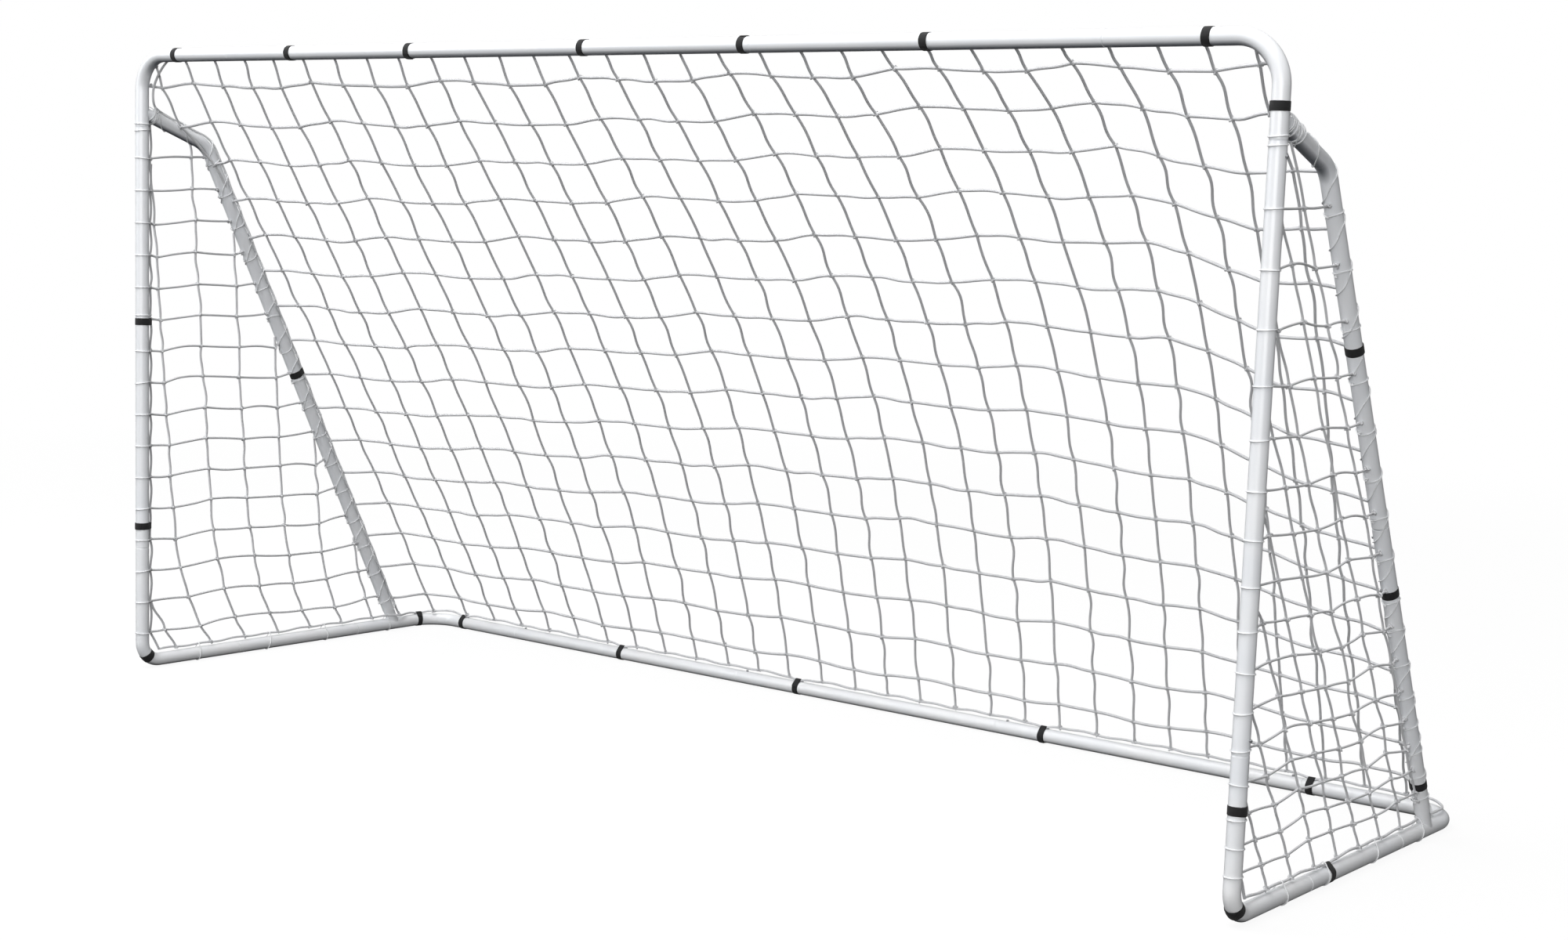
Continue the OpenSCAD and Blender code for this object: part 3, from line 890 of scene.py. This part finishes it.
def band_profile():
    """Across a strap, from edge to edge on the outside and back on the inside, as distance
    across and share of the thickness."""
    half = BAND_WIDTH / 2
    edge = BAND_EDGE
    left = [(-half, 0.4), (-half + edge, 0.85), (-half + 3 * edge, 1.0)]
    right = [(-across, up) for across, up in reversed(left)]
    under = [(half, 0.1), (half - edge, 0.0), (-half + edge, 0.0), (-half, 0.1)]
    return [*left, (0, 1.06), *right, *under]


def taper(left):
    """A strap's width near its tail's end, as a share: the end is rounded off."""
    if left >= TAIL_ROUND:
        return 1.0
    rounded = math.sqrt(max(0.0, 1 - (1 - left / TAIL_ROUND) ** 2))
    return rounded * (1 - TAIL_SLIM) + TAIL_SLIM


def band(centre, axis, start, cords, bend):
    """A hook-and-loop strap: one turn round the tube, and a tail that laps over its start.
    On a bend, given as its centre and radius, the strap bends with the tube."""
    axis = unit(axis)
    side = unit(np.cross(axis, UP) if abs(axis[2]) < 0.9 else ACROSS)
    side = unit(side - axis * (side @ axis))
    third = np.cross(axis, side)
    theta, reach = band_reach(side, third, cords)
    whole = 2 * math.pi + TAIL_TURN
    turns = np.linspace(0, whole, BAND_STEPS)
    skew = rng.normal(0, BAND_SKEW)
    rows = []
    for a in turns:
        lap = 1 / (1 + math.exp(-(a - 2 * math.pi + 0.12) / 0.07))
        lift = TAIL_LIFT * max(0.0, (a - whole + TAIL_LIFT_TURN) / TAIL_LIFT_TURN) ** 2
        tight = np.interp((a + start) % (2 * math.pi), theta, reach)
        base = tight + BAND_GAP + lap * (BAND_T * 1.08) + lift
        slim = taper((whole - a) * TUBE_R)
        drift = skew * (math.sin(a - 1.0) + TAIL_DRIFT * lap)
        out = side * math.cos(a + start) + third * math.sin(a + start)
        rows.append([
            band_place(centre, axis, out, base + up * BAND_T, across * slim + drift, bend)
            for across, up in band_profile()
        ])
    return np.array(rows), turns * TUBE_R


def band_place(centre, axis, out, radius, s, bend):
    """A place on a strap: a distance out from the tube's axis, and a distance along it."""
    if bend is None:
        return centre + axis * s + out * radius
    middle_of_bend, bend_r = bend
    arm = centre - middle_of_bend
    normal = unit(np.cross(arm, axis))
    turn = np.array(Matrix.Rotation(s / bend_r, 3, Vector(normal)))
    return middle_of_bend + turn @ (arm + out * radius)


def bend_of(node, centre, axis):
    """Centre and radius of the bend that a strap sits on, or None on a straight tube."""
    turned = sorted(abs(axis))[1]
    if node not in ("base_bend_straps", "base_straps") or turned < 0.15:
        return None
    x = 0.0 if centre[0] < WIDTH / 2 else WIDTH
    if node == "base_bend_straps":
        return np.array([x, FRONT_BEND_R, FRONT_BEND_R]), FRONT_BEND_R
    return np.array([REAR_BEND_R, DEPTH - REAR_BEND_R, 0.0]), REAR_BEND_R


def straps(name, node):
    """All the straps of one CAD node, as one piece."""
    bands = Cords()
    for centre, axis in rings(node):
        bend = bend_of(node, centre, axis)
        if bend is not None:
            centre = bend[0] + unit(centre - bend[0]) * bend[1]
        start = rng.uniform(0, 2 * math.pi)
        grid, along = band(centre, axis, start, held_cords(node, centre), bend)
        around = np.linspace(0, BAND_ROUND, grid.shape[1] + 1)
        bands.wrap(grid, around, along[:-1], along[1:])
    bands.piece(name, webbing_material(), node)


# ---- leaf springs ----


def islands(mesh):
    """Sets of vertex numbers that hang together."""
    root = list(range(len(mesh.vertices)))

    def top(i):
        while root[i] != i:
            root[i] = root[root[i]]
            i = root[i]
        return i

    at = {}
    for v in mesh.vertices:
        root[top(v.index)] = top(at.setdefault(tuple(round(c, 6) for c in v.co), v.index))
    for edge in mesh.edges:
        root[top(edge.vertices[0])] = top(edge.vertices[1])
    groups = {}
    for i in range(len(root)):
        groups.setdefault(top(i), set()).add(i)
    return list(groups.values())


def leaf_springs():
    """One folded leaf behind each snap button. Its back lies still in the tube."""
    whole = frame["nodes"]["button_springs"].data
    presses = {joint["child"]: Vector(joint["axis"]) for joint in frame["joints"]}
    for group in islands(whole):
        numbers = sorted(group)
        new = {old: i for i, old in enumerate(numbers)}
        places = [whole.vertices[i].co.copy() for i in numbers]
        faces = [[new[i] for i in f.vertices] for f in whole.polygons if f.vertices[0] in group]
        centre = sum(places, Vector()) / len(places)
        button = min(presses, key=lambda name: (middle(name) - centre).length)
        mesh = bpy.data.meshes.new(button + "_leaf")
        mesh.from_pydata(places, [], faces)
        mesh.materials.append(spring_material())
        leaf = show(button + "_leaf", mesh)
        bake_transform(leaf)
        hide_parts("button_springs")


# ---- materials ----


class Nodes:
    """Short calls for building a material's node tree."""

    def __init__(self, name):
        self.material = bpy.data.materials.new(name)
        self.material.use_nodes = True
        self.tree = self.material.node_tree
        self.shader = self.tree.nodes["Principled BSDF"]

    def set(self, **values):
        for name, value in values.items():
            self.link(value, self.shader.inputs[name.replace("_", " ")])

    def link(self, value, socket):
        if isinstance(value, bpy.types.NodeSocket):
            self.tree.links.new(value, socket)
        elif socket.type == "RGBA" and len(value) == 3:
            socket.default_value = (*value, 1)
        else:
            socket.default_value = value

    def node(self, kind, *values, output=0, **settings):
        node = self.tree.nodes.new("ShaderNode" + kind)
        for name, value in settings.items():
            setattr(node, name, value)
        for socket, value in zip(node.inputs, values):
            if value is not None:
                self.link(value, socket)
        return node.outputs[output]

    def math(self, operation, a, b=0.0):
        return self.node("Math", a, b, operation=operation)

    def times(self, a, b):
        return self.math("MULTIPLY", a, b)

    def plus(self, a, b):
        return self.math("ADD", a, b)

    def sine(self, a):
        return self.math("SINE", a)

    def noise(self, vector, scale, detail=2.0, rough=0.5):
        node = self.tree.nodes.new("ShaderNodeTexNoise")
        self.link(vector, node.inputs["Vector"])
        node.inputs["Scale"].default_value = scale
        node.inputs["Detail"].default_value = detail
        node.inputs["Roughness"].default_value = rough
        return node.outputs[0]

    def span(self, value, low, high, to_low=0.0, to_high=1.0):
        """Reads low to high as two other numbers, and stops at both."""
        node = self.tree.nodes.new("ShaderNodeMapRange")
        for socket, number in zip(node.inputs, (value, low, high, to_low, to_high)):
            self.link(number, socket)
        return node.outputs[0]

    def mix(self, share, a, b):
        """A colour between two; a mixing node's colours are its inputs 6 and 7, and output 2."""
        node = self.tree.nodes.new("ShaderNodeMix")
        node.data_type = "RGBA"
        self.link(share, node.inputs[0])
        self.link(a, node.inputs[6])
        self.link(b, node.inputs[7])
        return node.outputs[2]

    def bump(self, height, distance, strength=1.0):
        node = self.tree.nodes.new("ShaderNodeBump")
        node.inputs["Strength"].default_value = strength
        node.inputs["Distance"].default_value = distance
        self.link(height, node.inputs["Height"])
        return node.outputs[0]

    def place(self):
        return self.node("TexCoord", output="Object")

    def parts(self, vector):
        return self.node("SeparateXYZ", vector).node.outputs

    def uv(self):
        """The two parts of the UV, for a cord or strap: round it, and along it."""
        x, y, _ = self.parts(self.node("TexCoord", output="UV"))
        return x, y


made = {}


def once(build):
    """Builds a material the first time it is asked for."""

    def material():
        if build.__name__ not in made:
            made[build.__name__] = build()
        return made[build.__name__]

    return material


@once
def powder_material():
    """White powder coat: a fine orange peel, pale clouds, a few scuffs, and dust near the
    ground. What faces down is painted darker, as shade along the tubes' lower edges."""
    n = Nodes("powder_white")
    place = n.place()
    peel = n.noise(place, 420.0, 2.0, 0.55)
    cloud = n.noise(place, 5.0, 4.0, 0.6)
    scuff = n.span(n.noise(place, 60.0, 5.0, 0.7), 0.66, 0.74)
    # Painted shade: faces that point down are darkened towards near black
    under = n.span(n.parts(n.node("NewGeometry", output="Normal"))["Z"], -0.48, -0.92)
    low = n.span(n.parts(place)["Z"], 0.30, 0.0)
    clean = n.mix(n.span(cloud, 0.3, 0.7), (0.77, 0.79, 0.82), (0.82, 0.83, 0.845))
    shaded = n.mix(n.times(under, 0.97), clean, (0.05, 0.06, 0.08))
    dusty = n.mix(n.times(n.times(low, cloud), 0.15), shaded, (0.62, 0.57, 0.50))
    n.set(
        Base_Color=n.mix(n.times(scuff, 0.10), dusty, (0.45, 0.46, 0.48)),
        Roughness=n.span(n.plus(peel, n.times(scuff, 0.6)), 0.3, 1.3, 0.30, 0.52),
        Coat_Weight=0.25,
        Coat_Roughness=0.18,
        Normal=n.bump(peel, 0.00012, 0.35),
    )
    return n.material


def bare_steel(name, fine, coarse, dark, light, rough, spread):
    """Bare metal: a fine grain in its roughness and bump, and a coarser one in its colour."""
    n = Nodes(name)
    place = n.place()
    grain = n.noise(place, *fine)
    patch = n.noise(place, *coarse)
    n.set(
        Base_Color=n.mix(n.span(patch, 0.35, 0.65), dark, light),
        Metallic=1.0,
        Roughness=n.span(grain, 0.3, 0.7, rough, rough + spread),
        Normal=n.bump(grain, 0.0001, 0.3),
    )
    return n.material


@once
def zinc_material():
    """Bright zinc plate, with its spangle."""
    fine, coarse = (900.0, 3.0, 0.6), (260.0, 1.0, 0.4)
    return bare_steel("zinc", fine, coarse, (0.42, 0.43, 0.45), (0.66, 0.67, 0.69), 0.24, 0.18)


@once
def spring_material():
    """Rolled spring strip, blued here and there by heat."""
    fine, coarse = (700.0, 2.0, 0.5), (90.0, 2.0, 0.5)
    return bare_steel("steel_strip", fine, coarse, (0.08, 0.09, 0.12), (0.18, 0.16, 0.15), 0.28, 0.17)


@once
def webbing_material():
    """Black hook-and-loop tape: a ribbed weave with lint and a fine nap."""
    n = Nodes("webbing")
    across, along = n.uv()
    rib = n.sine(n.times(along, 2 * math.pi / 0.0016))
    warp = n.sine(n.times(across, 2 * math.pi / 0.0011))
    weave = n.times(rib, warp)
    place = n.place()
    nap = n.noise(place, 1600.0, 3.0, 0.7)
    lint = n.span(n.noise(place, 700.0, 4.0, 0.8), 0.66, 0.72)
    height = n.plus(n.times(weave, 0.5), nap)
    dark = n.mix(n.span(nap, 0.35, 0.65), (0.002, 0.002, 0.0025), (0.008, 0.008, 0.009))
    n.set(
        Base_Color=n.mix(n.times(lint, 0.10), dark, (0.20, 0.20, 0.21)),
        Roughness=n.span(nap, 0.3, 0.7, 0.72, 0.92),
        Sheen_Weight=0.08,
        Sheen_Roughness=0.5,
        Normal=n.bump(height, 0.0004, 0.7),
    )
    return n.material


def twisted(name, light, dark, lay):
    """Cord of three strands twisted together, one turn in each lay, of fine threads that lie
    the other way."""
    n = Nodes(name)
    u, v = n.uv()
    phase = n.plus(n.times(u, 3.0), n.times(v, 3.0 / lay))
    lobes = n.math("ABSOLUTE", n.sine(n.times(phase, math.pi)))
    thread = n.plus(n.times(u, 21.0), n.times(v, -21.0 / (2.4 * lay)))
    threads = n.sine(n.times(thread, 2 * math.pi))
    place = n.place()
    fuzz = n.noise(place, 2200.0, 3.0, 0.7)
    soil = n.noise(place, 14.0, 3.0, 0.6)
    # Painted shade: the grooves between the strands are darker
    groove_shade = n.span(lobes, 0.0, 0.55)
    tint = n.mix(n.span(soil, 0.35, 0.7), light, tuple(c * 0.90 for c in light))
    height = n.plus(n.plus(lobes, n.times(threads, 0.10)), n.times(fuzz, 0.15))
    n.set(
        Base_Color=n.mix(groove_shade, dark, tint),
        Roughness=n.span(fuzz, 0.3, 0.7, 0.55, 0.8),
        Sheen_Weight=0.15,
        Sheen_Roughness=0.4,
        Normal=n.bump(height, 0.0006, 0.8),
    )
    return n.material


@once
def cord_material():
    return twisted("grey_cord", (0.68, 0.685, 0.70), (0.44, 0.445, 0.46), 0.014)


@once
def lace_material():
    return twisted("white_cord", (0.86, 0.87, 0.88), (0.55, 0.56, 0.58), 0.010)


def paint_frame():
    """Gives every CAD node that still shows its own finish."""
    finish_of = {
        "frame_paint": powder_material,
        "button_zinc": zinc_material,
        "spring_steel": spring_material,
    }
    for part in frame["record"]["subparts"]:
        node = frame["nodes"][part["node"]]
        if part["material_slot"] in finish_of:
            node.data.materials.clear()
            node.data.materials.append(finish_of[part["material_slot"]]())


# ---- the set ----

FLOOR_R = 60.0
FLOOR_SIDES = 96
# The camera's place and axes, its lens and its shift: fitted so that the frame lies on the
# photo's
EYE = (3.8900, -4.7036, 1.4049)
EYE_RIGHT = (0.79811, 0.60125, 0.03899)
EYE_UP = (-0.10772, 0.07872, 0.99106)
EYE_AHEAD = (-0.59280, 0.79518, -0.12759)
LENS = 52.69
SENSOR = 36.0
SHIFT_X = -0.0459
SHIFT_Y = 0.0293


def floor():
    """A pale round floor that fades into the backdrop far away. Only the camera sees it, so
    that it doesn't light the tubes from below."""
    mesh = bpy.data.meshes.new("floor")
    angles = np.linspace(0, 2 * math.pi, FLOOR_SIDES, endpoint=False)
    around = [(FLOOR_R * math.cos(a), FLOOR_R * math.sin(a), 0) for a in angles]
    mesh.from_pydata(around, [], [list(range(FLOOR_SIDES))])
    n = Nodes("pale_floor")
    grain = n.noise(n.place(), 30.0, 4.0, 0.6)
    pale = n.mix(n.span(grain, 0.3, 0.7), (0.90, 0.90, 0.90), (0.93, 0.93, 0.93))
    n.set(Base_Color=pale, Roughness=0.9)
    glow = n.tree.nodes.new("ShaderNodeEmission")
    glow.inputs["Color"].default_value = (1, 1, 1, 1)
    blend = n.tree.nodes.new("ShaderNodeMixShader")
    away = n.node("VectorMath", n.node("NewGeometry"), operation="LENGTH", output="Value")
    n.link(n.span(away, 2.0, 9.0, 0.92, 1.0), blend.inputs[0])
    n.link(n.shader.outputs[0], blend.inputs[1])
    n.link(glow.outputs[0], blend.inputs[2])
    n.link(blend.outputs[0], n.tree.nodes["Material Output"].inputs["Surface"])
    mesh.materials.append(n.material)
    piece = show("floor", mesh)
    piece.visible_diffuse = False
    piece.visible_glossy = False


def softbox(name, place, aim, wide, tall, power, color=(1, 1, 1)):
    """A rectangular light, turned towards a place."""
    light = bpy.data.lights.new(name, "AREA")
    light.shape = "RECTANGLE"
    light.size, light.size_y = wide, tall
    light.energy = power
    light.color = color
    lamp = show(name, light)
    lamp.location = place
    lamp.rotation_euler = (Vector(aim) - Vector(place)).to_track_quat("-Z", "Y").to_euler()


def sky():
    """White to the camera; to the object it is bright above and dim below."""
    world = bpy.data.worlds.new("studio")
    bpy.context.scene.world = world
    world.use_nodes = True
    tree = world.node_tree
    back = tree.nodes["Background"]
    ray = tree.nodes.new("ShaderNodeLightPath")
    place = tree.nodes.new("ShaderNodeTexCoord")
    part = tree.nodes.new("ShaderNodeSeparateXYZ")
    ramp = tree.nodes.new("ShaderNodeMapRange")
    seen = tree.nodes.new("ShaderNodeMix")
    tree.links.new(place.outputs["Generated"], part.inputs[0])
    tree.links.new(part.outputs[2], ramp.inputs[0])
    limits = {"From Min": -0.25, "From Max": 0.9, "To Min": 0.05, "To Max": 0.50}
    for name, value in limits.items():
        ramp.inputs[name].default_value = value
    tree.links.new(ray.outputs["Is Camera Ray"], seen.inputs[0])
    tree.links.new(ramp.outputs[0], seen.inputs[2])
    seen.inputs[3].default_value = 1.0
    tree.links.new(seen.outputs[0], back.inputs["Strength"])
    back.inputs["Color"].default_value = (1, 1, 1, 1)


def studio():
    sky()
    floor()
    softbox("over", (-1.0, -3.5, 9.0), (0, 0.1, 0.8), 9.0, 5.0, 950)
    softbox("front_left", (-5.5, -5.0, 3.2), (0, 0, 0.9), 3.5, 3.0, 130, (0.96, 0.98, 1.0))
    softbox("front", (6.5, -11.0, 2.4), (0, 0, 0.9), 8.0, 4.5, 780)
    scene = bpy.context.scene
    scene.view_settings.view_transform = "Standard"
    scene.view_settings.look = "None"


def camera():
    data = bpy.data.cameras.new("camera")
    data.sensor_width = SENSOR
    data.lens = LENS
    data.shift_x, data.shift_y = SHIFT_X, SHIFT_Y
    data.clip_end = 200.0
    eye = show("camera", data)
    back = [-c for c in EYE_AHEAD]
    eye.matrix_world = Matrix([*zip(EYE_RIGHT, EYE_UP, back, EYE), (0, 0, 0, 1)])
    bpy.context.scene.camera = eye


back_net()
for side_name in SIDES:
    side_net(side_name)
    post_loops(side_name)
    base_loops(side_name)
    stay_lacing(side_name)
    arm_bundle(side_name)
base_cord()
for strap_name, strap_node in (
    ("crossbar_strap_bands", "crossbar_straps"),
    ("post_strap_bands", "post_straps"),
    ("base_bend_strap_bands", "base_bend_straps"),
    ("stay_strap_bands", "stay_straps"),
    ("base_strap_bands", "base_straps"),
):
    straps(strap_name, strap_node)
leaf_springs()
paint_frame()
studio()
camera()
